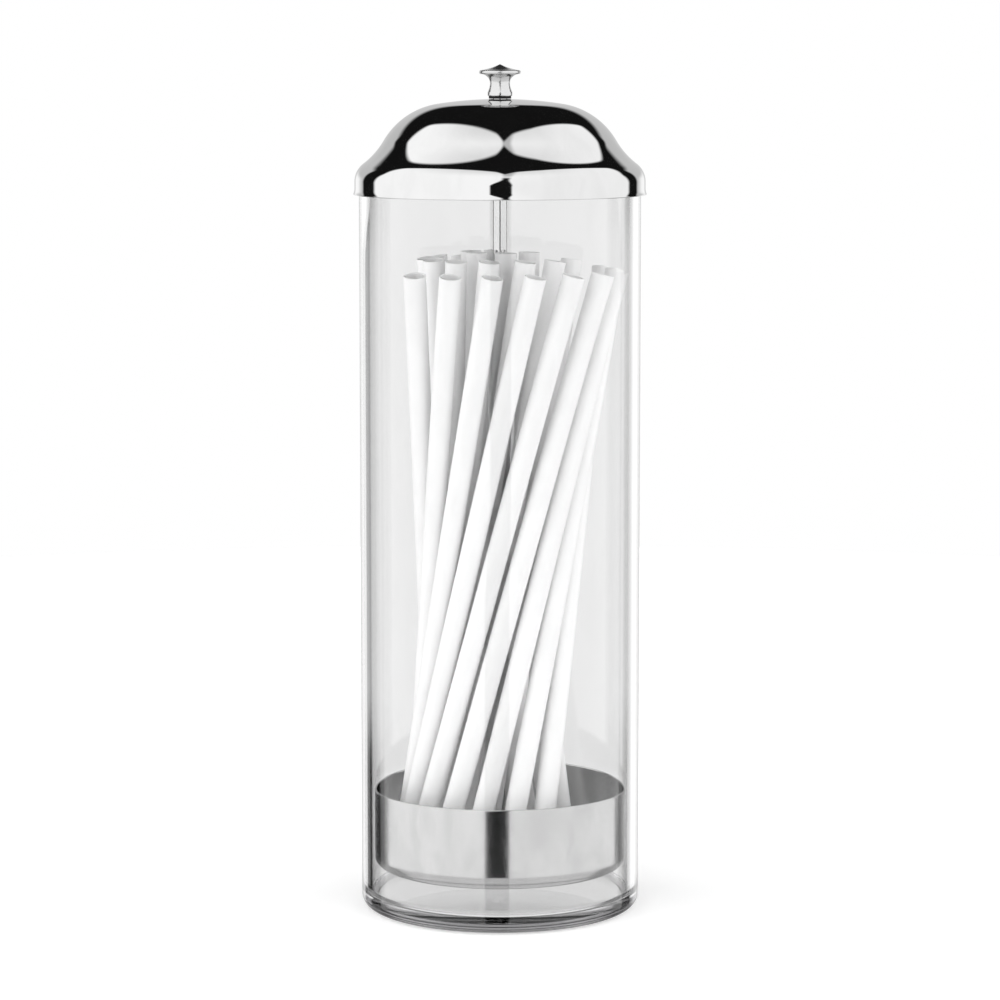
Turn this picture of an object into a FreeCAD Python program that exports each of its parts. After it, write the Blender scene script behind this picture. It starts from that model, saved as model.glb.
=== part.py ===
import FreeCAD, Part
import math
import os

os.makedirs("parts", exist_ok=True)

# Driving dimensions, in millimetres and degrees. The origin is on the axis, under the jar.

# Jar, one clear moulding
jar_height = 254.0
jar_outer_diameter = 96.0
jar_wall = 3.5
jar_floor = 5.0
jar_foot_radius = 4.0
jar_inner_foot_radius = 3.0
jar_rim_round = 0.8

# Lid, spun from sheet as an ogee dome with a rolled rim bead
lid_sheet = 0.8
lid_skirt_clearance = 0.7
lid_seat_gap = 0.3
lid_skirt_height = 5.0
lid_shoulder_radius = 7.5
lid_shoulder_turn = 50.0
lid_hollow_radius = 34.5
lid_hollow_turn = 17.0
lid_crown_radius = 27.7
lid_crown_end_slope = 9.0
lid_bead_radius = 0.7
lid_bead_stand = 0.4
lid_bore_clearance = 0.1

# Lifting rod, with a thinner stud at its top for the knob
rod_diameter = 5.0
rod_stud_diameter = 4.0
rod_stud_length = 6.0
rod_end_past_nut = 1.0
rod_end_chamfer = 0.4

# Turned knob, heights from its base
knob_height = 11.1
knob_base_radius = 4.25
knob_neck_radius = 3.4
knob_neck_height = 4.7
knob_foot_share = 1 / 3
knob_waist_share = 0.7
knob_waist_bulge = 0.25
knob_sweep_reach = 0.3
knob_sweep_rise = 0.72
knob_head_radius = 7.1
knob_head_height = 8.4
knob_head_edge = 0.7
knob_head_under_angle = -60.0
knob_head_over_angle = 72.0
knob_cone_dip = 0.3
knob_bore_end_gap = 0.3

# Black washer under the knob
knob_washer_diameter = 7.6
knob_washer_thickness = 0.5
knob_washer_play = 0.1

# Plain washers and hexagon nuts on the rod
washer_diameter = 10.0
washer_thickness = 1.0
nut_across_flats = 8.0
nut_height = 4.0
nut_sides = 6
nut_chamfer = 0.5
nut_chamfer_angle = 30.0
lid_washer_play = 0.2
thread_fit = 0.05

# Tray, a drawn sheet cup that hangs on the rod inside the jar
tray_wall_clearance = 1.0
tray_sheet = 0.7
tray_underside_height = 9.0
tray_depth = 28.0
tray_corner_radius = 5.0

# Straws, standing in the tray in three twisted rings
straw_length = 212.0
straw_diameter = 7.2
straw_wall = 0.4
straw_side_gap = 0.8
straw_foot_gap = 0.1
straw_core_gap = 0.4
straw_jar_gap = 0.7
straw_tray_gap = 0.2
outer_ring_straws = 9
outer_ring_start = 131.0
middle_ring_straws = 10
middle_ring_start = 5.0
middle_foot_spread = 6.5
middle_top_spread = 8.0
inner_ring_straws = 5
inner_ring_start = 60.0
inner_foot_spread = 0.15
inner_top_spread = 1.5

# Sizes worked out from the driving ones
jar_outer_radius = jar_outer_diameter / 2
jar_inner_radius = jar_outer_radius - jar_wall
rod_radius = rod_diameter / 2
straw_radius = straw_diameter / 2
lid_skirt_radius = jar_outer_radius + lid_skirt_clearance + lid_sheet
lid_shoulder_centre = lid_skirt_radius - lid_shoulder_radius
tray_outer_radius = jar_inner_radius - tray_wall_clearance
tray_inner_radius = tray_outer_radius - tray_sheet

apex_turn = 90.0

AXIS_START = FreeCAD.Vector(0, 0, 0)
AXIS_UP = FreeCAD.Vector(0, 0, 1)


def point(radius, height):
    """A point of a turned outline, in the plane through the axis."""
    return FreeCAD.Vector(radius, 0, height)


def on_circle(centre, radius, degrees):
    """The point of a circle in that plane at an angle up from the outward direction."""
    turn = math.radians(degrees)
    return point(centre.x + radius * math.cos(turn), centre.z + radius * math.sin(turn))


def straight(start, end):
    return Part.LineSegment(start, end).toShape()


def arc(centre, radius, start_degrees, end_degrees):
    middle_degrees = (start_degrees + end_degrees) / 2
    start = on_circle(centre, radius, start_degrees)
    middle = on_circle(centre, radius, middle_degrees)
    end = on_circle(centre, radius, end_degrees)
    return Part.Arc(start, middle, end).toShape()


def turned(edges):
    """The solid that a closed outline makes when it turns once about the axis."""
    face = Part.Face(Part.Wire(edges))
    return face.revolve(AXIS_START, AXIS_UP, 360)


def disc(radius, bottom, height):
    return Part.makeCylinder(radius, height, point(0, bottom), AXIS_UP)


def jar():
    """A round tumbler with a thick floor, a rounded foot and a rounded rim."""
    foot = point(jar_outer_radius - jar_foot_radius, jar_foot_radius)
    rim_outer = point(jar_outer_radius - jar_rim_round, jar_height - jar_rim_round)
    rim_inner = point(jar_inner_radius + jar_rim_round, jar_height - jar_rim_round)
    well = point(jar_inner_radius - jar_inner_foot_radius, jar_floor + jar_inner_foot_radius)
    edges = [
        straight(point(0, 0), point(foot.x, 0)),
        arc(foot, jar_foot_radius, -90, 0),
        straight(point(jar_outer_radius, foot.z), point(jar_outer_radius, rim_outer.z)),
        arc(rim_outer, jar_rim_round, 0, 90),
        straight(point(rim_outer.x, jar_height), point(rim_inner.x, jar_height)),
        arc(rim_inner, jar_rim_round, 90, 180),
        straight(point(jar_inner_radius, rim_inner.z), point(jar_inner_radius, well.z)),
        arc(well, jar_inner_foot_radius, 0, -90),
        straight(point(well.x, jar_floor), point(0, jar_floor)),
        straight(point(0, jar_floor), point(0, 0)),
    ]
    return turned(edges)


def lid_rim_height():
    """The lid's rim, with its shoulder resting on the rounded outer edge of the jar's rim."""
    reach = lid_shoulder_radius - lid_sheet - jar_rim_round - lid_seat_gap
    across = jar_outer_radius - jar_rim_round - lid_shoulder_centre
    rise = math.sqrt(reach ** 2 - across ** 2)
    return jar_height - jar_rim_round - rise - lid_skirt_height


def lid_arcs():
    """The centres, radii and turns of the four tangent arcs of the lid's outer face."""
    shoulder = point(lid_shoulder_centre, lid_rim_height() + lid_skirt_height)
    shoulder_end = lid_shoulder_turn
    hollow = on_circle(shoulder, lid_shoulder_radius + lid_hollow_radius, shoulder_end)
    hollow_end = shoulder_end - lid_hollow_turn
    crown = on_circle(hollow, -(lid_hollow_radius + lid_crown_radius), hollow_end)
    crown_end = apex_turn - lid_crown_end_slope
    crown_rim = on_circle(crown, lid_crown_radius, crown_end)
    top_radius = crown_rim.x / math.cos(math.radians(crown_end))
    top = point(0, crown_rim.z - top_radius * math.sin(math.radians(crown_end)))
    return [
        (shoulder, lid_shoulder_radius, 1, 0, shoulder_end),
        (hollow, lid_hollow_radius, -1, shoulder_end + 180, hollow_end + 180),
        (crown, lid_crown_radius, 1, hollow_end, crown_end),
        (top, top_radius, 1, crown_end, apex_turn),
    ]


def lid_face(depth, bore):
    """The lid's outline at a depth under its outer face, from the skirt to the bore."""
    edges = []
    for centre, radius, bulge, start, end in lid_arcs():
        radius_here = radius - bulge * depth
        if end == apex_turn:
            end = math.degrees(math.acos(bore / radius_here))
        edges.append(arc(centre, radius_here, start, end))
    return edges


def lid_height_at(radius, depth):
    """The height of the lid's top arc, at a distance from the axis and a depth in the sheet."""
    centre, top_radius, bulge, start, end = lid_arcs()[-1]
    return centre.z + math.sqrt((top_radius - depth) ** 2 - radius ** 2)


def lid():
    """The dome: one sheet of even thickness, bored for the rod, with a bead at its rim."""
    rim = lid_rim_height()
    bore = rod_radius + lid_bore_clearance
    inner_radius = lid_skirt_radius - lid_sheet
    skirt_top = rim + lid_skirt_height
    outer_face = lid_face(0, bore)
    inner_face = lid_face(lid_sheet, bore)
    bead_centre = point(lid_skirt_radius + lid_bead_stand - lid_bead_radius, rim + lid_bead_radius)
    edges = [straight(point(lid_skirt_radius, bead_centre.z), point(lid_skirt_radius, skirt_top))]
    edges += outer_face
    edges.append(straight(
        point(bore, lid_height_at(bore, 0)), point(bore, lid_height_at(bore, lid_sheet))))
    edges += inner_face[::-1]
    edges.append(straight(point(inner_radius, skirt_top), point(inner_radius, bead_centre.z)))
    edges.append(straight(
        point(inner_radius, bead_centre.z), point(lid_skirt_radius, bead_centre.z)))
    bead = turned([
        arc(bead_centre, lid_bead_radius, 0, 180),
        arc(bead_centre, lid_bead_radius, 180, 360),
    ])
    return turned(edges).fuse(bead).removeSplitter()


def knob_washer_bottom():
    return lid_height_at(0, 0) + knob_washer_play


def knob_base():
    return knob_washer_bottom() + knob_washer_thickness


def knob():
    """A turned knob: a waisted stem, a wide round-edged head and a pointed, hollowed cone."""
    base = knob_base()
    tip = point(0, base + knob_height)
    bore_radius = rod_stud_diameter / 2 + thread_fit
    bore_end = base + rod_stud_length + knob_bore_end_gap
    neck = point(knob_neck_radius, base + knob_neck_height)
    edge = point(knob_head_radius - knob_head_edge, base + knob_head_height)
    edge_low = on_circle(edge, knob_head_edge, knob_head_under_angle)
    edge_high = on_circle(edge, knob_head_edge, knob_head_over_angle)
    stem_foot = point(knob_base_radius, base + knob_neck_height * knob_foot_share)
    stem_mid = point(
        knob_neck_radius + (knob_base_radius - knob_neck_radius) * knob_waist_bulge,
        base + knob_neck_height * knob_waist_share)
    sweep_mid = point(
        knob_neck_radius + (edge_low.x - knob_neck_radius) * knob_sweep_reach,
        neck.z + (edge_low.z - neck.z) * knob_sweep_rise)
    cone = Part.BezierCurve()
    cone_pull = point(tip.x + edge_high.x / 2, (edge_high.z + tip.z) / 2 - 2 * knob_cone_dip)
    cone.setPoles([edge_high, cone_pull, tip])
    edges = [
        straight(point(bore_radius, base), point(knob_base_radius, base)),
        straight(point(knob_base_radius, base), stem_foot),
        Part.Arc(stem_foot, stem_mid, neck).toShape(),
        Part.Arc(neck, sweep_mid, edge_low).toShape(),
        arc(edge, knob_head_edge, knob_head_under_angle, knob_head_over_angle),
        cone.toShape(),
        straight(tip, point(0, bore_end)),
        straight(point(0, bore_end), point(bore_radius, bore_end)),
        straight(point(bore_radius, bore_end), point(bore_radius, base)),
    ]
    return turned(edges)


def knob_washer():
    bore = disc(rod_radius + thread_fit, knob_washer_bottom(), knob_washer_thickness)
    return disc(knob_washer_diameter / 2, knob_washer_bottom(), knob_washer_thickness).cut(bore)


def washer(bottom):
    """A plain flat washer on the rod."""
    bore = disc(rod_radius + thread_fit, bottom, washer_thickness)
    return disc(washer_diameter / 2, bottom, washer_thickness).cut(bore)


def nut(bottom):
    """A hexagon nut on the rod, with both faces chamfered."""
    corner_radius = nut_across_flats / 2 / math.cos(math.pi / nut_sides)
    corners = []
    for place in range(nut_sides + 1):
        turn = 2 * math.pi * place / nut_sides
        corners.append(FreeCAD.Vector(
            corner_radius * math.cos(turn), corner_radius * math.sin(turn), bottom))
    prism = Part.Face(Part.makePolygon(corners)).extrude(point(0, nut_height))
    flat_radius = corner_radius - nut_chamfer
    chamfer_rise = nut_chamfer * math.tan(math.radians(nut_chamfer_angle))
    barrel = turned([
        straight(point(0, bottom), point(flat_radius, bottom)),
        straight(point(flat_radius, bottom), point(corner_radius, bottom + chamfer_rise)),
        straight(
            point(corner_radius, bottom + chamfer_rise),
            point(corner_radius, bottom + nut_height - chamfer_rise)),
        straight(
            point(corner_radius, bottom + nut_height - chamfer_rise),
            point(flat_radius, bottom + nut_height)),
        straight(point(flat_radius, bottom + nut_height), point(0, bottom + nut_height)),
        straight(point(0, bottom + nut_height), point(0, bottom)),
    ])
    return prism.common(barrel).cut(disc(rod_radius + thread_fit, bottom, nut_height))


def lid_washer_bottom():
    """The washer under the lid, with its top edge just clear of the dome."""
    return lid_height_at(washer_diameter / 2, lid_sheet) - lid_washer_play - washer_thickness


def tray_underside():
    return jar_floor + tray_underside_height


def tray_floor():
    return tray_underside() + tray_sheet


def tray():
    """The drawn cup: a flat floor bored for the rod, a rounded corner and a straight wall."""
    underside = tray_underside()
    rim = underside + tray_depth
    bore = rod_radius + thread_fit
    corner = point(tray_outer_radius - tray_corner_radius, underside + tray_corner_radius)
    inner_corner_radius = tray_corner_radius - tray_sheet
    edges = [
        straight(point(bore, underside), point(corner.x, underside)),
        arc(corner, tray_corner_radius, -90, 0),
        straight(point(tray_outer_radius, corner.z), point(tray_outer_radius, rim)),
        straight(point(tray_outer_radius, rim), point(tray_inner_radius, rim)),
        straight(point(tray_inner_radius, rim), point(tray_inner_radius, corner.z)),
        arc(corner, inner_corner_radius, 0, -90),
        straight(point(corner.x, tray_floor()), point(bore, tray_floor())),
        straight(point(bore, tray_floor()), point(bore, underside)),
    ]
    return turned(edges)


def lower_nut_bottom():
    return tray_underside() - washer_thickness - nut_height


def rod():
    """The lifting rod, from under the tray's lower nut to the stud inside the knob."""
    bottom = lower_nut_bottom() - rod_end_past_nut
    shoulder = knob_base()
    top = shoulder + rod_stud_length
    stud_radius = rod_stud_diameter / 2
    edges = [
        straight(point(0, bottom), point(rod_radius - rod_end_chamfer, bottom)),
        straight(
            point(rod_radius - rod_end_chamfer, bottom), point(rod_radius, bottom + rod_end_chamfer)),
        straight(point(rod_radius, bottom + rod_end_chamfer), point(rod_radius, shoulder)),
        straight(point(rod_radius, shoulder), point(stud_radius, shoulder)),
        straight(point(stud_radius, shoulder), point(stud_radius, top - rod_end_chamfer)),
        straight(
            point(stud_radius, top - rod_end_chamfer), point(stud_radius - rod_end_chamfer, top)),
        straight(point(stud_radius - rod_end_chamfer, top), point(0, top)),
        straight(point(0, top), point(0, bottom)),
    ]
    return turned(edges)


def straw(foot_radius, foot_degrees, top_radius, twist):
    """One open tube, standing on the tray's floor and leaning towards its turned top."""
    foot_turn = math.radians(foot_degrees)
    top_turn = math.radians(foot_degrees + twist)
    across_x = top_radius * math.cos(top_turn) - foot_radius * math.cos(foot_turn)
    across_y = top_radius * math.sin(top_turn) - foot_radius * math.sin(foot_turn)
    lean = math.asin(math.hypot(across_x, across_y) / straw_length)
    foot = FreeCAD.Vector(
        foot_radius * math.cos(foot_turn),
        foot_radius * math.sin(foot_turn),
        tray_floor() + straw_radius * math.sin(lean) + straw_foot_gap)
    along = FreeCAD.Vector(across_x, across_y, straw_length * math.cos(lean))
    tube = Part.makeCylinder(straw_radius, straw_length, foot, along)
    return tube.cut(Part.makeCylinder(straw_radius - straw_wall, straw_length, foot, along))


def straw_ring(waist_radius, foot_radius, top_radius, start_degrees, most):
    """A ring of straws like a twisted fan: their axes come nearest the rod at the waist."""
    foot_swing = math.degrees(math.acos(waist_radius / foot_radius))
    top_swing = math.degrees(math.acos(waist_radius / top_radius))
    twist = foot_swing + top_swing
    across = foot_radius * math.sin(math.radians(foot_swing))
    across += top_radius * math.sin(math.radians(top_swing))
    lean = math.asin(across / straw_length)
    pitch = (straw_diameter + straw_side_gap) / math.cos(lean)
    step = 2 * math.degrees(math.asin(pitch / 2 / waist_radius))
    places = int(360 / step)
    straws = []
    for place in range(min(places, most)):
        foot_degrees = start_degrees + place * 360 / places
        straws.append(straw(foot_radius, foot_degrees, top_radius, twist))
    return straws


def straws():
    """Three rings: round the nut on the rod, round those, and out to the tray's corner."""
    ring_pitch = straw_diameter + straw_side_gap
    inner_waist = washer_diameter / 2 + straw_radius + straw_core_gap
    middle_waist = inner_waist + ring_pitch
    outer_waist = middle_waist + ring_pitch
    outer_foot = tray_outer_radius - tray_corner_radius - straw_radius - straw_tray_gap
    outer_top = jar_inner_radius - straw_radius - straw_jar_gap
    outer = straw_ring(
        outer_waist, outer_foot, outer_top, outer_ring_start, outer_ring_straws)
    middle = straw_ring(
        middle_waist, middle_waist + middle_foot_spread, middle_waist + middle_top_spread,
        middle_ring_start, middle_ring_straws)
    inner = straw_ring(
        inner_waist, inner_waist + inner_foot_spread, inner_waist + inner_top_spread,
        inner_ring_start, inner_ring_straws)
    return outer + middle + inner


def write(name, shape):
    shape.exportStep("parts/" + name + ".step")


write("jar", jar())
write("lid", lid())
write("knob", knob())
write("knob_washer", knob_washer())
write("rod", rod())
write("lid_washer", washer(lid_washer_bottom()))
write("lid_nut", nut(lid_washer_bottom() - nut_height))
write("tray", tray())
write("tray_upper_washer", washer(tray_floor()))
write("tray_upper_nut", nut(tray_floor() + washer_thickness))
write("tray_lower_washer", washer(tray_underside() - washer_thickness))
write("tray_lower_nut", nut(lower_nut_bottom()))
for number, tube in enumerate(straws(), start=1):
    write(f"straw_{number:02d}", tube)
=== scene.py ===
import math

import bpy
import numpy as np
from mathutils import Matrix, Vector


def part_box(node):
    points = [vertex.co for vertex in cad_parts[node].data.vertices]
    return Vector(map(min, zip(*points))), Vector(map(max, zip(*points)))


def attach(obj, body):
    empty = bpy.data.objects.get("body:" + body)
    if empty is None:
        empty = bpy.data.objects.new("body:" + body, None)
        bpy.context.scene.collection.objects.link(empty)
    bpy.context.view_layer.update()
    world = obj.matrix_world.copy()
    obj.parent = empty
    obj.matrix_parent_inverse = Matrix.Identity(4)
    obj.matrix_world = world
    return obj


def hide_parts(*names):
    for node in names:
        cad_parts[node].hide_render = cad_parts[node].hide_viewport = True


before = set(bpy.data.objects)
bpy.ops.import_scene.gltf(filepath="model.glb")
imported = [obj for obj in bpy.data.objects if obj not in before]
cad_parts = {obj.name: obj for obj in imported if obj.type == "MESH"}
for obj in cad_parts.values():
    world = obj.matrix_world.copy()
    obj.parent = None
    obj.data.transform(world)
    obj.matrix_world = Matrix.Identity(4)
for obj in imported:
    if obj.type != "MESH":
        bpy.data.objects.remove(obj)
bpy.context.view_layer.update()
scene = bpy.context.scene

# Camera
# A long lens looks down at the dispenser from a little above the knob. Its height, distance and
# pitch are those that the ellipses of the lid, the tray and the foot give.
CAMERA_DISTANCE = 1.2287
CAMERA_HEIGHT = 0.2965
CAMERA_PITCH = math.radians(7.2)
CAMERA_LENS = 129.6

camera_data = bpy.data.cameras.new("camera")
camera_data.lens = CAMERA_LENS
camera = bpy.data.objects.new("camera", camera_data)
camera.location = (0, -CAMERA_DISTANCE, CAMERA_HEIGHT)
camera.rotation_euler = (math.pi / 2 - CAMERA_PITCH, 0, 0)
scene.collection.objects.link(camera)
scene.camera = camera
scene.view_settings.view_transform = "Standard"
scene.cycles.use_denoising = True
BOUNCES = 24
GLOSSY_BOUNCES = 12
GLOSSY_BLUR = 0.2
scene.cycles.max_bounces = BOUNCES
scene.cycles.transmission_bounces = BOUNCES
scene.cycles.glossy_bounces = GLOSSY_BOUNCES
scene.cycles.blur_glossy = GLOSSY_BLUR


# Studio
# A white light tent with an open top, dark rear corners and a slot for the camera stands round a
# pale floor, and is the world's light. The camera sees plain white behind the dispenser and light
# grey through its jar, and mirrors see the tent and its ground light where the floor would be.
def plug(tree, socket, value):
    """Sets a plain value on a socket, or links another socket to it."""
    if isinstance(value, bpy.types.NodeSocket):
        tree.links.new(value, socket)
    else:
        socket.default_value = value


def add_node(tree, kind, **inputs):
    """A node of that kind, with plain values or other sockets plugged into its sockets.

    A name of digits after an underscore is the socket's number, and others are its name.
    """
    node = tree.nodes.new(kind)
    for name, value in inputs.items():
        key = int(name[1:]) if name[0] == "_" else name.replace("_", " ")
        plug(tree, node.inputs[key], value)
    return node


def calculate(tree, operation, first, second=0.0, third=0.0):
    """One number from others, by one operation of a Math node."""
    node = add_node(tree, "ShaderNodeMath", _0=first, _1=second, _2=third)
    node.operation = operation
    return node.outputs[0]


def smooth_step(tree, value, start, end):
    """0 below start, 1 above end, with a smooth rise between them."""
    node = tree.nodes.new("ShaderNodeMapRange")
    node.interpolation_type = "SMOOTHSTEP"
    for number, setting in enumerate((value, start, end, 0.0, 1.0)):
        plug(tree, node.inputs[number], setting)
    return node.outputs[0]


def inverse(tree, value):
    """1 less the value."""
    return calculate(tree, "SUBTRACT", 1.0, value)


def product(tree, *values):
    """The values multiplied with each other."""
    result = values[0]
    for value in values[1:]:
        result = calculate(tree, "MULTIPLY", result, value)
    return result


def blend(tree, share, gain, base):
    """Base + share * gain."""
    return calculate(tree, "MULTIPLY_ADD", share, gain, base)


def size_of(tree, value):
    """The value without its sign."""
    return calculate(tree, "ABSOLUTE", value)


LEAST_LEVEL = 0.001


def sky_map(tree, direction):
    """Where a direction lies on the sky laid flat like a map: across, ahead and fall.

    The zenith is the map's middle, the horizon is the circle of radius 1, and ahead grows towards
    the camera: both are the level parts of the direction, divided by 1 + its height. Directions
    below the horizon lie on the circle, and fall is how far down they point.
    """
    parts = add_node(tree, "ShaderNodeSeparateXYZ", _0=direction)
    rise = calculate(tree, "MAXIMUM", parts.outputs[2], 0.0)
    fall = calculate(tree, "MULTIPLY", calculate(tree, "MINIMUM", parts.outputs[2], 0.0), -1.0)
    level = calculate(tree, "SQRT", inverse(tree, product(tree, fall, fall)))
    scale = calculate(tree, "ADD", rise, calculate(tree, "MAXIMUM", level, LEAST_LEVEL))
    across = calculate(tree, "DIVIDE", parts.outputs[0], scale)
    ahead = calculate(tree, "MULTIPLY", calculate(tree, "DIVIDE", parts.outputs[1], scale), -1.0)
    return across, ahead, fall, parts.outputs[1]


# Pairs give where a smooth rise starts and ends. Turns are degrees from ahead, and the rest are
# lengths on the map, shares of the fall, or brightness.
TIP_ACROSS = 0.025
TIP_AHEAD = 0.165
TIP_POINT = 0.06
TIP_HALF = (0.0, 0.05)
EDGE_SLOPE = 1.48
FAR_RIGHT = 0.15
FAR_RIGHT_SLOPE = 0.8
EDGE_RISE = (-0.02, 0.05)


def past_walls_edge(tree, across, ahead):
    """1 on the walls, and 0 in the opening overhead.

    The opening is a wedge that widens to the rear from a drawn-out point, less at the far right.
    """
    beside = size_of(tree, calculate(tree, "SUBTRACT", across, TIP_ACROSS))
    point = inverse(tree, smooth_step(tree, beside, *TIP_HALF))
    past_point = blend(tree, point, -TIP_POINT, calculate(tree, "SUBTRACT", ahead, TIP_AHEAD))
    far_right = calculate(tree, "MAXIMUM", calculate(tree, "SUBTRACT", across, FAR_RIGHT), 0.0)
    past_edge = blend(
        tree, far_right, FAR_RIGHT_SLOPE, blend(tree, beside, EDGE_SLOPE, past_point))
    return smooth_step(tree, past_edge, *EDGE_RISE)


LOW_FALL = (0.12, 0.16)
FLARE_AHEAD = (0.5, 1.0)
SLOT_MIDDLE = 0.045
SLOT_MIDDLE_FLARE = -0.035
SLOT_MIDDLE_LOW = -0.055
SLOT_HALF = 0.025
SLOT_HALF_FLARE = 0.12
SLOT_HALF_LOW = 0.03
SLOT_EDGE = (-0.015, 0.02)
SLOT_AHEAD = (0.36, 0.48)
SLOT_START = (0.02, 0.08)
SEAM_AHEAD = (0.3, 0.42)
SEAM_DEPTH = 0.4
SEAM_LEAST = 0.05


def camera_slot(tree, across, ahead, fall):
    """1 in the camera's slot, which flares towards the horizon and is a faint seam overhead."""
    low_share = smooth_step(tree, fall, *LOW_FALL)
    flare = smooth_step(tree, ahead, *FLARE_AHEAD)
    slot_middle = blend(
        tree, low_share, SLOT_MIDDLE_LOW, blend(tree, flare, SLOT_MIDDLE_FLARE, SLOT_MIDDLE))
    slot_half = blend(
        tree, low_share, SLOT_HALF_LOW, blend(tree, flare, SLOT_HALF_FLARE, SLOT_HALF))
    off_slot = calculate(
        tree, "SUBTRACT",
        size_of(tree, calculate(tree, "SUBTRACT", across, slot_middle)), slot_half)
    seam = blend(
        tree, inverse(tree, smooth_step(tree, ahead, *SEAM_AHEAD)), SEAM_DEPTH, SEAM_LEAST)
    depth = calculate(tree, "MAXIMUM", smooth_step(tree, ahead, *SLOT_AHEAD), seam)
    return product(
        tree, inverse(tree, smooth_step(tree, off_slot, *SLOT_EDGE)), depth,
        smooth_step(tree, ahead, *SLOT_START))


CORNER_TURNS = (115.0, 120.0)
CORNER_DEPTHS = (0.25, 0.3)
RIGHT_CORNER_TURN = -5.0
RIGHT_CORNER_DEPTH = -0.09


def rear_corner(tree, ahead, turn, left):
    """1 from the rear corners on to the rear, which start sooner at the left than at the right."""
    right = inverse(tree, left)
    corner_turn = blend(tree, right, RIGHT_CORNER_TURN, turn)
    corner_depth = blend(
        tree, right, RIGHT_CORNER_DEPTH, calculate(tree, "MULTIPLY", ahead, -1.0))
    return product(
        tree, smooth_step(tree, corner_turn, *CORNER_TURNS),
        smooth_step(tree, corner_depth, *CORNER_DEPTHS))


BACKDROP_DEPTH = 0.7
BACKDROP_SLOPE = -0.55
BACKDROP_EDGE = (-0.06, 0.03)
BACKDROP_LIGHT = 0.65
GLOW_TURNS = (138.0, 152.0)
GLOW_REACH = (0.85, 0.97)
GLOW_FADE_TURNS = (158.0, 168.0)
GLOW_FADE = -0.9
GLOW_LIGHT = 0.5


def backdrop_light(tree, across, ahead, turn, reach, behind):
    """The backdrop's light, up to a low edge that rises at both sides, with a glow at its foot."""
    rear_edge = blend(
        tree, size_of(tree, across), BACKDROP_SLOPE,
        calculate(tree, "ADD", ahead, BACKDROP_DEPTH))
    glow = product(
        tree, smooth_step(tree, turn, *GLOW_TURNS), smooth_step(tree, reach, *GLOW_REACH),
        blend(tree, smooth_step(tree, turn, *GLOW_FADE_TURNS), GLOW_FADE, 1.0))
    return product(
        tree, behind, inverse(tree, smooth_step(tree, rear_edge, *BACKDROP_EDGE)),
        blend(tree, glow, GLOW_LIGHT, BACKDROP_LIGHT))


BEHIND_TURNS = (136.0, 141.0)
LEFT_REAR_TURN = -14.0
WALL_FALL = (0.04, 0.06)
SHEEN_FALL = (0.175, 0.2)
SHEEN_LIGHT = 0.35
GAP_LIGHT = 0.008
SHADE_REACH = (0.03, 0.4)
SHADE_LEAST = 0.75
LIT_ACROSS = (0.0, 0.4)
LIT_LOSS = -0.08
WALL_LIGHT = 1.28
BELOW_FALL = (0.25, 0.4)
BELOW_LIGHT = 0.85
SHADOW_REAR = (0.1, 0.35)
SHADOW_FALL = (0.6, 0.75)
SHADOW_DEPTH = 0.7


def light_tent(tree, direction):
    """How bright the tent is in each direction.

    The walls are white away from the opening overhead, the rear corners and the camera's slot.
    They dim a little towards the zenith and to the right. The backdrop closes the rear, and the
    corners have a sheen just below the horizon. Further down, the ground's light takes over,
    which is in shadow to the rear.
    """
    across, ahead, fall, rearward = sky_map(tree, direction)
    turn = size_of(
        tree, calculate(tree, "DEGREES", calculate(tree, "ARCTAN2", across, ahead)))
    reach = calculate(tree, "SQRT", blend(tree, across, across, product(tree, ahead, ahead)))
    left = calculate(tree, "LESS_THAN", across, 0.0)
    corner = rear_corner(tree, ahead, turn, left)
    slot = camera_slot(tree, across, ahead, fall)
    walls = product(
        tree, past_walls_edge(tree, across, ahead), inverse(tree, corner), inverse(tree, slot))
    wall_share = smooth_step(tree, fall, *WALL_FALL)
    rear_turn = blend(tree, product(tree, left, wall_share), LEFT_REAR_TURN, turn)
    behind = smooth_step(tree, rear_turn, *BEHIND_TURNS)
    backdrop = backdrop_light(tree, across, ahead, turn, reach, behind)
    shade = blend(tree, smooth_step(tree, reach, *SHADE_REACH), 1 - SHADE_LEAST, SHADE_LEAST)
    lit = blend(tree, smooth_step(tree, across, *LIT_ACROSS), LIT_LOSS, 1.0)
    sheen = product(
        tree, corner, inverse(tree, behind), wall_share,
        inverse(tree, smooth_step(tree, fall, *SHEEN_FALL)))
    dim = blend(tree, sheen, SHEEN_LIGHT, calculate(tree, "ADD", backdrop, GAP_LIGHT))
    sides = blend(tree, product(tree, walls, shade, lit), WALL_LIGHT, dim)
    below = smooth_step(tree, fall, *BELOW_FALL)
    shadow = product(
        tree, smooth_step(tree, rearward, *SHADOW_REAR),
        inverse(tree, smooth_step(tree, fall, *SHADOW_FALL)))
    ground = blend(tree, shadow, -SHADOW_DEPTH * BELOW_LIGHT, BELOW_LIGHT)
    return blend(tree, below, ground, product(tree, sides, inverse(tree, below)))


SEEN_LIGHT = 1.0
SEEN_THROUGH_LIGHT = 0.8
SOFT_LIGHT_GAIN = 1.25
AT_LEAST_ONE = 0.5

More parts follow.
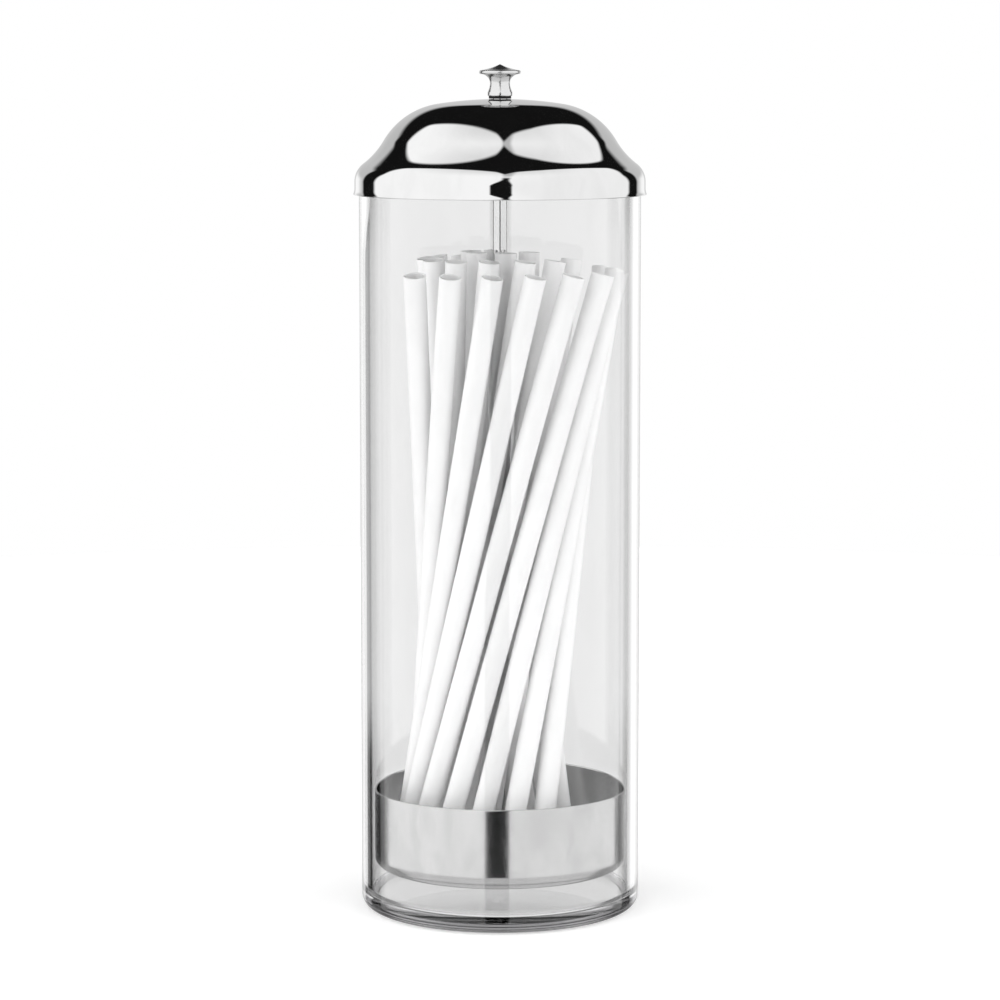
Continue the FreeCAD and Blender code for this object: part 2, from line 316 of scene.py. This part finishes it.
world = bpy.data.worlds.new("studio")
scene.world = world
world.use_nodes = True
tree = world.node_tree
tree.nodes.clear()
direction = add_node(tree, "ShaderNodeTexCoord").outputs["Generated"]
ray = add_node(tree, "ShaderNodeLightPath")
softened = calculate(tree, "GREATER_THAN", ray.outputs["Diffuse Depth"], AT_LEAST_ONE)
gain = blend(tree, softened, SOFT_LIGHT_GAIN - 1, 1.0)
tent = add_node(
    tree, "ShaderNodeBackground", Strength=product(tree, light_tent(tree, direction), gain))
through = calculate(tree, "GREATER_THAN", ray.outputs["Transmission Depth"], AT_LEAST_ONE)
plain = add_node(
    tree, "ShaderNodeBackground",
    Strength=blend(tree, through, SEEN_THROUGH_LIGHT - SEEN_LIGHT, SEEN_LIGHT))
for sky in (tent, plain):
    sky.inputs["Color"].default_value = (1, 1, 1, 1)
bounced = calculate(
    tree, "GREATER_THAN",
    calculate(tree, "ADD", ray.outputs["Glossy Depth"], ray.outputs["Diffuse Depth"]),
    AT_LEAST_ONE)
seen = add_node(
    tree, "ShaderNodeMixShader", _0=bounced, _1=plain.outputs[0], _2=tent.outputs[0])
add_node(tree, "ShaderNodeOutputWorld", Surface=seen.outputs[0])

FLOOR_RADIUS = 0.9
FLOOR_DROP = 0.0002
FLOOR_SIDES = 96
FLOOR_TONE = (0.8, 0.8, 0.8, 1)
FLOOR_GLOW = 0.35
bpy.ops.mesh.primitive_circle_add(
    vertices=FLOOR_SIDES, radius=FLOOR_RADIUS, fill_type="NGON", location=(0, 0, -FLOOR_DROP))
floor = bpy.context.object
floor.name = "floor"
floor_material = bpy.data.materials.new("pale_floor")
floor_material.use_nodes = True
tree = floor_material.node_tree
tree.nodes.clear()
pale = add_node(tree, "ShaderNodeBsdfDiffuse", Color=FLOOR_TONE)
glow = add_node(tree, "ShaderNodeEmission", Color=(1, 1, 1, 1), Strength=FLOOR_GLOW)
both = add_node(tree, "ShaderNodeAddShader", _0=pale.outputs[0], _1=glow.outputs[0])
ray = add_node(tree, "ShaderNodeLightPath")
mirrored = calculate(tree, "GREATER_THAN", ray.outputs["Glossy Depth"], AT_LEAST_ONE)
through = calculate(
    tree, "GREATER_THAN",
    calculate(tree, "SUBTRACT", ray.outputs["Transmission Depth"], ray.outputs["Diffuse Depth"]),
    AT_LEAST_ONE)
hidden = calculate(tree, "MAXIMUM", mirrored, through)
clear = add_node(tree, "ShaderNodeBsdfTransparent")
either = add_node(
    tree, "ShaderNodeMixShader", _0=hidden, _1=both.outputs[0], _2=clear.outputs[0])
add_node(tree, "ShaderNodeOutputMaterial", Surface=either.outputs[0])
floor.data.materials.append(floor_material)


# Jar
# The jar is one clear acrylic moulding, with a thick floor, a rounded foot and a rounded rim.
# It stands free, and everything else hangs from the lid that rests on its rim.
MM = 0.001
JAR_WALL = 3.5 * MM
JAR_FLOOR = 5.0 * MM
JAR_FOOT_RADIUS = 4.0 * MM
JAR_WELL_RADIUS = 3.0 * MM
JAR_RIM_ROUND = 0.8 * MM
LONG_SIDE = 1.5 * MM
SIDE_INSET = 0.1 * MM
ON_AXIS = 1e-9
NEARLY_ALONG = 0.9
X_AXIS = np.array([1.0, 0.0, 0.0])
Y_AXIS = np.array([0.0, 1.0, 0.0])
SHARP_ANGLE = math.radians(35)


def arc(centre_radius, centre_height, radius, start, end, steps):
    """Points on a circle in the outline's plane, between two angles up from the outward way."""
    turn = np.radians(np.linspace(start, end, steps + 1))
    return np.stack([
        centre_radius + radius * np.cos(turn),
        centre_height + radius * np.sin(turn)], axis=1)


def turned(name, outline, sides, start=(0, 0, 0), along=(0, 0, 1)):
    """A closed outline of (radius, height) points, turned once about an axis through start.

    Each point is start + along * height + radius * (cos of the turn, sin of the turn) in the plane
    square to the axis. Points on the axis are one vertex each, with triangles round them. A long
    side gets a point close to each end, so that it's shaded as flat as it is.
    """
    along = np.array(along, float) / np.linalg.norm(along)
    helper = Y_AXIS if abs(along[1]) < NEARLY_ALONG else X_AXIS
    across = np.cross(helper, along)
    across /= np.linalg.norm(across)
    beside = np.cross(along, across)
    outline = np.asarray(outline, float)
    side = np.roll(outline, -1, axis=0) - outline
    length = np.linalg.norm(side, axis=1, keepdims=True)
    long_sides = np.flatnonzero(length[:, 0] > LONG_SIDE)
    inset = SIDE_INSET * side[long_sides] / length[long_sides]
    near_ends = np.stack([
        outline[long_sides] + inset, outline[long_sides] + side[long_sides] - inset], axis=1)
    outline = np.insert(
        outline, np.repeat(long_sides + 1, 2), near_ends.reshape(-1, 2), axis=0)
    on_axis = outline[:, 0] < ON_AXIS
    turn = np.arange(sides) * 2 * np.pi / sides
    ring = np.outer(np.cos(turn), across) + np.outer(np.sin(turn), beside)
    points = np.array(start) + outline[:, 1, None, None] * along + outline[:, 0, None, None] * ring
    index = np.arange(points.shape[0] * sides).reshape(-1, sides)
    index[on_axis] = index[on_axis, :1]
    first, second = index, np.roll(index, -1, axis=0)
    corners = np.stack([first, np.roll(first, -1, 1), np.roll(second, -1, 1), second], axis=-1)
    next_on_axis = np.roll(on_axis, -1)
    faces = corners[~on_axis & ~next_on_axis].reshape(-1, 4).tolist()
    faces += corners[on_axis & ~next_on_axis][..., [0, 2, 3]].reshape(-1, 3).tolist()
    faces += corners[~on_axis & next_on_axis][..., [0, 1, 2]].reshape(-1, 3).tolist()
    used = np.unique(np.concatenate([np.unique(face) for face in (
        corners[~on_axis & ~next_on_axis].ravel(),
        corners[on_axis ^ next_on_axis].ravel())]))
    renumber = np.full(index.size, -1)
    renumber[used] = np.arange(used.size)
    mesh = bpy.data.meshes.new(name)
    mesh.from_pydata(
        points.reshape(-1, 3)[used].tolist(), [], [renumber[face].tolist() for face in faces])
    mesh.shade_smooth()
    mesh.set_sharp_from_angle(angle=SHARP_ANGLE)
    piece = bpy.data.objects.new(name, mesh)
    scene.collection.objects.link(piece)
    return piece


def add_material(name, **values):
    """A material with one Principled shader, whose named sockets get these plain values."""
    material = bpy.data.materials.new(name)
    material.use_nodes = True
    shader = material.node_tree.nodes["Principled BSDF"]
    for socket, value in values.items():
        shader.inputs[socket.replace("_", " ")].default_value = value
    return material, material.node_tree, shader


RING_CROSSING = 40.0
WAVE_SCALE = 55.0
WIPE_SCALE = 120.0
WIPE_STRETCH = (1.0, 1.0, 0.45)
WIPE_DISTORTION = 0.6
WIPE_RISE = (0.35, 0.68)
marks = bpy.data.node_groups.new("surface_marks", "ShaderNodeTree")
marks.interface.new_socket("Lines per Metre", in_out="INPUT", socket_type="NodeSocketFloat")
for mark in ("Lines", "Waves", "Wipes"):
    marks.interface.new_socket(mark, in_out="OUTPUT", socket_type="NodeSocketFloat")
line_count = marks.nodes.new("NodeGroupInput").outputs[0]
place = add_node(marks, "ShaderNodeTexCoord").outputs["Object"]
parts = add_node(marks, "ShaderNodeSeparateXYZ", _0=place)
radius = calculate(marks, "SQRT", blend(
    marks, parts.outputs[0], parts.outputs[0],
    product(marks, parts.outputs[1], parts.outputs[1])))
rings = add_node(
    marks, "ShaderNodeCombineXYZ",
    _0=blend(marks, parts.outputs[0], RING_CROSSING, product(marks, radius, line_count)),
    _1=product(marks, parts.outputs[1], RING_CROSSING),
    _2=product(marks, parts.outputs[2], line_count))
lines = add_node(marks, "ShaderNodeTexNoise", _0=rings.outputs[0], Scale=1.0, Detail=2.0)
waves = add_node(marks, "ShaderNodeTexNoise", _0=place, Scale=WAVE_SCALE, Detail=1.0)
stretched = add_node(marks, "ShaderNodeVectorMath", _0=place)
stretched.operation = "MULTIPLY"
stretched.inputs[1].default_value = WIPE_STRETCH
wipes = add_node(
    marks, "ShaderNodeTexNoise", _0=stretched.outputs[0], Scale=WIPE_SCALE, Detail=6.0,
    Distortion=WIPE_DISTORTION)
group_end = marks.nodes.new("NodeGroupOutput")
for slot_number, texture in enumerate((lines, waves, wipes)):
    marks.links.new(texture.outputs[0], group_end.inputs[slot_number])


def mix_colours(tree, share, first, second):
    """A colour that goes from the first to the second as the share goes from 0 to 1."""
    node = add_node(tree, "ShaderNodeMix")
    node.data_type = "RGBA"
    plug(tree, node.inputs["Factor"], share)
    colours_in = [socket for socket in node.inputs if socket.type == "RGBA"]
    for socket, colour in zip(colours_in, (first, second)):
        plug(tree, socket, colour)
    return next(socket for socket in node.outputs if socket.type == "RGBA")


def wear(tree, shader, tones, roughness, lines_per_metre, line_depth, wave_depth):
    """Gives a material its making and wiping marks, and returns its colour.

    Fine rings run round the dispenser's axis and wide waves dent the surface, by depths in metres.
    Wiping marks move the roughness between two values, and the colour between two tones of grey.
    """
    node = tree.nodes.new("ShaderNodeGroup")
    node.node_tree = marks
    node.inputs[0].default_value = lines_per_metre
    wiped = smooth_step(tree, node.outputs["Wipes"], *WIPE_RISE)
    rough = blend(tree, wiped, roughness[1] - roughness[0], roughness[0])
    tree.links.new(rough, shader.inputs["Roughness"])
    colour = mix_colours(tree, wiped, *[(tone, tone, tone, 1) for tone in tones])
    tree.links.new(colour, shader.inputs["Base Color"])
    height = blend(
        tree, node.outputs["Lines"], line_depth, product(tree, node.outputs["Waves"], wave_depth))
    bump = add_node(tree, "ShaderNodeBump", Strength=1.0, Distance=1.0, Height=height)
    tree.links.new(bump.outputs[0], shader.inputs["Normal"])
    return colour


def dress(piece, material, body, slot, *nodes):
    """Gives a finished piece its material, hangs it from its body and hides the CAD nodes it
    replaces. The slot is not used.
    """
    piece.data.materials.append(material)
    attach(piece, body)
    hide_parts(*nodes)


# Painted shade: the acrylic's colour is greyed in the foot's outer ring, for the dark band seen
# through the thick base, and a little across the middle of the floor, for the shade under the tray.
FOOT_SHADE_TONE = (0.36, 0.355, 0.365, 1)
FOOT_MIDDLE_SHADE = 0.2
FOOT_SHADE_RADII = (43.5 * MM, 45.0 * MM)
FOOT_SHADE_HEIGHTS = (5.2 * MM, 6.0 * MM)
jar_low, jar_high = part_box("jar")
jar_radius = jar_high.x
jar_bore = jar_radius - JAR_WALL
jar_outline = np.concatenate([
    [[0, 0]],
    arc(jar_radius - JAR_FOOT_RADIUS, JAR_FOOT_RADIUS, JAR_FOOT_RADIUS, -90, 0, 16),
    arc(jar_radius - JAR_RIM_ROUND, jar_high.z - JAR_RIM_ROUND, JAR_RIM_ROUND, 0, 90, 8),
    arc(jar_bore + JAR_RIM_ROUND, jar_high.z - JAR_RIM_ROUND, JAR_RIM_ROUND, 90, 180, 8),
    arc(jar_bore - JAR_WELL_RADIUS, JAR_FLOOR + JAR_WELL_RADIUS, JAR_WELL_RADIUS, 0, -90, 12),
    [[0, JAR_FLOOR]],
])
jar = turned("clear_jar", jar_outline, sides=256)
acrylic, tree, shader = add_material("clear_acrylic", IOR=1.49, Transmission_Weight=1.0)
clear_tone = wear(
    tree, shader, tones=(0.985, 0.97), roughness=(0.0, 0.012),
    lines_per_metre=250.0, line_depth=0.1e-6, wave_depth=12e-6)
place = add_node(tree, "ShaderNodeTexCoord").outputs["Object"]
parts = add_node(tree, "ShaderNodeSeparateXYZ", _0=place)
flat_place = add_node(tree, "ShaderNodeCombineXYZ", _0=parts.outputs[0], _1=parts.outputs[1])
radius = add_node(tree, "ShaderNodeVectorMath", _0=flat_place.outputs[0])
radius.operation = "LENGTH"
# The painted shade is full in the wall below the floor's top, and a fifth of it across the floor's
# middle.
outer_shade_share = smooth_step(tree, radius.outputs["Value"], *FOOT_SHADE_RADII)
foot_shade_share = product(
    tree, blend(tree, outer_shade_share, 1 - FOOT_MIDDLE_SHADE, FOOT_MIDDLE_SHADE),
    inverse(tree, smooth_step(tree, parts.outputs[2], *FOOT_SHADE_HEIGHTS)))
tree.links.new(
    mix_colours(tree, foot_shade_share, clear_tone, FOOT_SHADE_TONE), shader.inputs["Base Color"])
dress(jar, acrylic, "jar", "clear_acrylic", "jar")


# Tray
# The tray is a cup drawn from thin stainless sheet, satin inside and out, with a plain cut rim.
# It is clamped to the rod between two nuts and hangs just above the jar's floor.
TRAY_SHEET = 0.7 * MM
TRAY_CORNER = 5.0 * MM
tray_low, tray_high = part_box("tray")
rod_low, rod_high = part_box("rod")
rod_radius = rod_high.x
ROD_HOLE_GAP = 0.05 * MM
tray_radius = tray_high.x
rim_edge = TRAY_SHEET / 2
tray_outline = np.concatenate([
    [[rod_radius + ROD_HOLE_GAP, tray_low.z]],
    arc(tray_radius - TRAY_CORNER, tray_low.z + TRAY_CORNER, TRAY_CORNER, -90, 0, 16),
    arc(tray_radius - rim_edge, tray_high.z - rim_edge, rim_edge, 0, 180, 8),
    arc(
        tray_radius - TRAY_CORNER, tray_low.z + TRAY_CORNER,
        TRAY_CORNER - TRAY_SHEET, 0, -90, 16),
    [[rod_radius + ROD_HOLE_GAP, tray_low.z + TRAY_SHEET]],
])
tray = turned("steel_tray", tray_outline, sides=256)
satin, tree, shader = add_material("satin_steel", Metallic=1.0)
wear(
    tree, shader, tones=(0.58, 0.54), roughness=(0.13, 0.19),
    lines_per_metre=2600.0, line_depth=6e-6, wave_depth=10e-6)
dress(tray, satin, "insert", "satin_steel", "tray")

hardware, tree, shader = add_material("bright_hardware", Metallic=1.0)
wear(
    tree, shader, tones=(0.64, 0.57), roughness=(0.16, 0.3),
    lines_per_metre=4000.0, line_depth=5e-6, wave_depth=10e-6)
HARDWARE_NODES = (
    "tray_lower_nut", "tray_lower_washer", "tray_upper_washer", "tray_upper_nut",
    "lid_nut", "lid_washer")
for node in HARDWARE_NODES:
    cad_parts[node].data.materials.clear()
    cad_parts[node].data.materials.append(hardware)


# Rod
# The rod is polished steel bar. Its foot is threaded for the tray's nuts, and its top end is
# turned down to a stud for the knob.
ROD_END_CHAMFER = 0.4 * MM
STUD_RADIUS = 2.0 * MM
STUD_LENGTH = 6.0 * MM
rod_outline = [
    [0, rod_low.z],
    [rod_radius - ROD_END_CHAMFER, rod_low.z],
    [rod_radius, rod_low.z + ROD_END_CHAMFER],
    [rod_radius, rod_high.z - STUD_LENGTH],
    [STUD_RADIUS, rod_high.z - STUD_LENGTH],
    [STUD_RADIUS, rod_high.z - ROD_END_CHAMFER],
    [STUD_RADIUS - ROD_END_CHAMFER, rod_high.z],
    [0, rod_high.z],
]
rod = turned("lifting_rod", rod_outline, sides=64)
polished, tree, shader = add_material("polished_bar", Metallic=1.0)
wear(
    tree, shader, tones=(0.73, 0.69), roughness=(0.04, 0.1),
    lines_per_metre=3000.0, line_depth=0.8e-6, wave_depth=4e-6)
dress(rod, polished, "insert", "rod_steel", "rod")


# Straws
# The straws are extruded white plastic tube, cut square. They stand in the tray and lean as a
# twisted bunch.
STRAW_WALL = 0.4 * MM
STRAW_EDGE = 0.1 * MM
straw_plastic, tree, shader = add_material("white_straw", IOR=1.5)
wear(
    tree, shader, tones=(0.95, 0.92), roughness=(0.32, 0.46),
    lines_per_metre=60.0, line_depth=0.0, wave_depth=20e-6)


def straw_ends(node):
    """The centres of a straw's lower and upper ends and its radius, from its CAD tube's corners."""
    flat = np.zeros(len(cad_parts[node].data.vertices) * 3)
    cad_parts[node].data.vertices.foreach_get("co", flat)
    corners = np.unique(flat.reshape(-1, 3).round(6), axis=0)
    middle = (corners[:, 2].min() + corners[:, 2].max()) / 2
    low = corners[corners[:, 2] < middle].mean(axis=0)
    high_corners = corners[corners[:, 2] > middle]
    high = high_corners.mean(axis=0)
    return low, high, np.linalg.norm(high_corners - high, axis=1).max()


for node in sorted(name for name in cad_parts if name.startswith("straw_")):
    foot, top, straw_radius = straw_ends(node)
    length = np.linalg.norm(top - foot)
    straw_outline = np.concatenate([
        arc(straw_radius - STRAW_EDGE, STRAW_EDGE, STRAW_EDGE, -90, 0, 3),
        arc(straw_radius - STRAW_EDGE, length - STRAW_EDGE, STRAW_EDGE, 0, 90, 3),
        arc(straw_radius - STRAW_WALL + STRAW_EDGE, length - STRAW_EDGE, STRAW_EDGE, 90, 180, 3),
        arc(straw_radius - STRAW_WALL + STRAW_EDGE, STRAW_EDGE, STRAW_EDGE, 180, 270, 3),
    ])
    tube = turned(
        node.replace("straw", "white_tube"), straw_outline, sides=48, start=foot, along=top - foot)
    dress(tube, straw_plastic, "insert", "white_straw", node)


# Lid
# The lid is spun from stainless sheet and mirror polished: a low skirt, a round shoulder, a hollow
# and a wide crown. A slightly flared lip stiffens its rim.
LID_SHEET = 0.8 * MM
LID_SKIRT = 4.4 * MM
LIP_STAND = 0.4 * MM
LIP_EDGE = 0.25 * MM
LIP_HEIGHT = 2.2 * MM
LIP_STEPS = 16
SHOULDER_RADIUS = 7.6 * MM
SHOULDER_TURN = 52.8
HOLLOW_RADIUS = 27.0 * MM
HOLLOW_TURN = 22.3
CROWN_RADIUS = 25.8 * MM
LID_BORE_GAP = 0.1 * MM
lid_low, lid_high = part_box("lid")
skirt_radius = lid_high.x - LIP_STAND
skirt_top = lid_low.z + LID_SKIRT


def beyond(centre, distance, degrees):
    """A point at a distance and an angle from another, in the outline's plane."""
    turn = math.radians(degrees)
    return centre[0] + distance * math.cos(turn), centre[1] + distance * math.sin(turn)


shoulder = (skirt_radius - SHOULDER_RADIUS, skirt_top)
hollow = beyond(shoulder, SHOULDER_RADIUS + HOLLOW_RADIUS, SHOULDER_TURN)
hollow_end = SHOULDER_TURN - HOLLOW_TURN
crown = beyond(hollow, -HOLLOW_RADIUS - CROWN_RADIUS, hollow_end)
crown_drop = crown[1] - lid_high.z
cap_radius = (
    (CROWN_RADIUS ** 2 - crown[0] ** 2 - crown_drop ** 2) / (2 * (crown_drop + CROWN_RADIUS)))
cap_centre = lid_high.z - cap_radius
crown_end = math.degrees(math.atan2(crown[1] - cap_centre, crown[0]))


def dome_line(depth):
    """The dome's section at a depth in the sheet: four arcs that run on from each other."""
    bore_end = math.degrees(math.acos((rod_radius + LID_BORE_GAP) / (cap_radius - depth)))
    return np.concatenate([
        arc(*shoulder, SHOULDER_RADIUS - depth, 0, SHOULDER_TURN, 24)[:-1],
        arc(*hollow, HOLLOW_RADIUS + depth, SHOULDER_TURN + 180, hollow_end + 180, 16)[:-1],
        arc(*crown, CROWN_RADIUS - depth, hollow_end, crown_end, 36)[:-1],
        arc(0, cap_centre, cap_radius - depth, crown_end, bore_end, 16)])


lip = (lid_high.x - LIP_EDGE, lid_low.z + LIP_EDGE)
lip_share = np.linspace(0, 1, LIP_STEPS + 1)[:-1, None]
lip_flare = np.concatenate([
    lid_high.x - LIP_STAND * (1 - (1 - lip_share) ** 2),
    lip[1] + (LIP_HEIGHT - LIP_EDGE) * lip_share], axis=1)
lid_outline = np.concatenate([
    [[skirt_radius - LID_SHEET + LIP_EDGE, lid_low.z]],
    arc(*lip, LIP_EDGE, -90, 0, 8)[:-1],
    lip_flare,
    dome_line(0),
    dome_line(LID_SHEET)[::-1],
    [[skirt_radius - LID_SHEET, lid_low.z + LIP_EDGE]],
])
lid = turned("spun_lid", lid_outline, sides=256)
mirror, tree, shader = add_material("mirror_steel", Metallic=1.0)
wear(
    tree, shader, tones=(0.71, 0.68), roughness=(0.015, 0.05),
    lines_per_metre=1400.0, line_depth=0.5e-6, wave_depth=16e-6)
dress(lid, mirror, "lid", "polished_steel", "lid")


# Knob washer
# A thin black ring between the knob and the dome keeps the polish from rubbing.
RING_EDGE = 0.12 * MM
RING_RISE = 0.4 * MM
washer_low, washer_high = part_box("knob_washer")
washer_bore = rod_radius + ROD_HOLE_GAP
ring_top = washer_high.z + RING_RISE
ring_outline = np.concatenate([
    [[washer_bore, washer_low.z]],
    arc(washer_high.x - RING_EDGE, washer_low.z + RING_EDGE, RING_EDGE, -90, 0, 4),
    arc(washer_high.x - RING_EDGE, ring_top - RING_EDGE, RING_EDGE, 0, 90, 4),
    [[washer_bore, ring_top]],
])
ring = turned("black_ring", ring_outline, sides=96)
rubber, tree, shader = add_material("black_rubber", Specular_IOR_Level=0.15)
wear(
    tree, shader, tones=(0.006, 0.012), roughness=(0.5, 0.7),
    lines_per_metre=5000.0, line_depth=5e-6, wave_depth=10e-6)
dress(ring, rubber, "insert", "black_rubber", "knob_washer")


# Knob
# The knob is turned from bar and polished: a waisted stem under a wide, thin head with a point.
KNOB_BASE_RADIUS = 4.25 * MM
KNOB_NECK_RADIUS = 3.4 * MM
KNOB_NECK_HEIGHT = 4.7 * MM
KNOB_HEAD_RADIUS = 7.1 * MM
KNOB_HEAD_HEIGHT = 8.4 * MM
KNOB_HEAD_EDGE = 0.7 * MM
KNOB_BORE = 2.05 * MM
KNOB_BORE_DEPTH = 6.3 * MM
KNOB_CHAMFER = 0.2 * MM
HEAD_LOW_TURN = -60
HEAD_HIGH_TURN = 72
STEM_FOOT_SHARE = 1 / 3
STEM_WAIST_SHARE = 0.7
STEM_WAIST_BULGE = 0.25
SWEEP_REACH = 0.3
SWEEP_RISE = 0.72
CONE_SAG = 0.6 * MM
knob_low, knob_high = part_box("knob")


def three_point_arc(start, middle, end, steps):
    """The circle through three points of the outline, from the first to the last."""
    start, middle, end = (np.array(point, float) for point in (start, middle, end))
    rows = 2 * np.array([middle - start, end - start])
    centre = np.linalg.solve(rows, [middle @ middle - start @ start, end @ end - start @ start])
    angles = np.unwrap([math.atan2(*(point - centre)[::-1]) for point in (start, middle, end)])
    return arc(*centre, np.linalg.norm(start - centre), *np.degrees(angles[[0, 2]]), steps)


def bent_line(start, pull, end, steps):
    """A curve from start to end that leaves towards pull and arrives from it."""
    share = np.linspace(0, 1, steps + 1)[:, None]
    start, pull, end = (np.array(point, float) for point in (start, pull, end))
    return (1 - share) ** 2 * start + 2 * share * (1 - share) * pull + share ** 2 * end


knob_base = knob_low.z
knob_neck = (KNOB_NECK_RADIUS, knob_base + KNOB_NECK_HEIGHT)
head = (KNOB_HEAD_RADIUS - KNOB_HEAD_EDGE, knob_base + KNOB_HEAD_HEIGHT)
head_low = beyond(head, KNOB_HEAD_EDGE, HEAD_LOW_TURN)
head_high = beyond(head, KNOB_HEAD_EDGE, HEAD_HIGH_TURN)
stem_foot = (KNOB_BASE_RADIUS, knob_base + KNOB_NECK_HEIGHT * STEM_FOOT_SHARE)
stem_mid = (
    KNOB_NECK_RADIUS + (KNOB_BASE_RADIUS - KNOB_NECK_RADIUS) * STEM_WAIST_BULGE,
    knob_base + KNOB_NECK_HEIGHT * STEM_WAIST_SHARE)
sweep_mid = (
    KNOB_NECK_RADIUS + (head_low[0] - KNOB_NECK_RADIUS) * SWEEP_REACH,
    knob_neck[1] + (head_low[1] - knob_neck[1]) * SWEEP_RISE)
cone_pull = (head_high[0] / 2, (head_high[1] + knob_high.z) / 2 - CONE_SAG)
knob_outline = np.concatenate([
    [[KNOB_BORE, ring_top], [KNOB_BASE_RADIUS - KNOB_CHAMFER, ring_top]],
    [[KNOB_BASE_RADIUS, ring_top + KNOB_CHAMFER]],
    three_point_arc(stem_foot, stem_mid, knob_neck, 16),
    three_point_arc(knob_neck, sweep_mid, head_low, 16)[1:],
    arc(*head, KNOB_HEAD_EDGE, HEAD_LOW_TURN, HEAD_HIGH_TURN, 12)[1:],
    bent_line(head_high, cone_pull, (0, knob_high.z), 14)[1:],
    [[0, knob_base + KNOB_BORE_DEPTH], [KNOB_BORE, knob_base + KNOB_BORE_DEPTH]],
])
knob = turned("turned_knob", knob_outline, sides=128)
knob_steel, tree, shader = add_material("turned_steel", Metallic=1.0)
wear(
    tree, shader, tones=(0.68, 0.64), roughness=(0.16, 0.24),
    lines_per_metre=3500.0, line_depth=1.5e-6, wave_depth=6e-6)
dress(knob, knob_steel, "insert", "turned_steel", "knob")
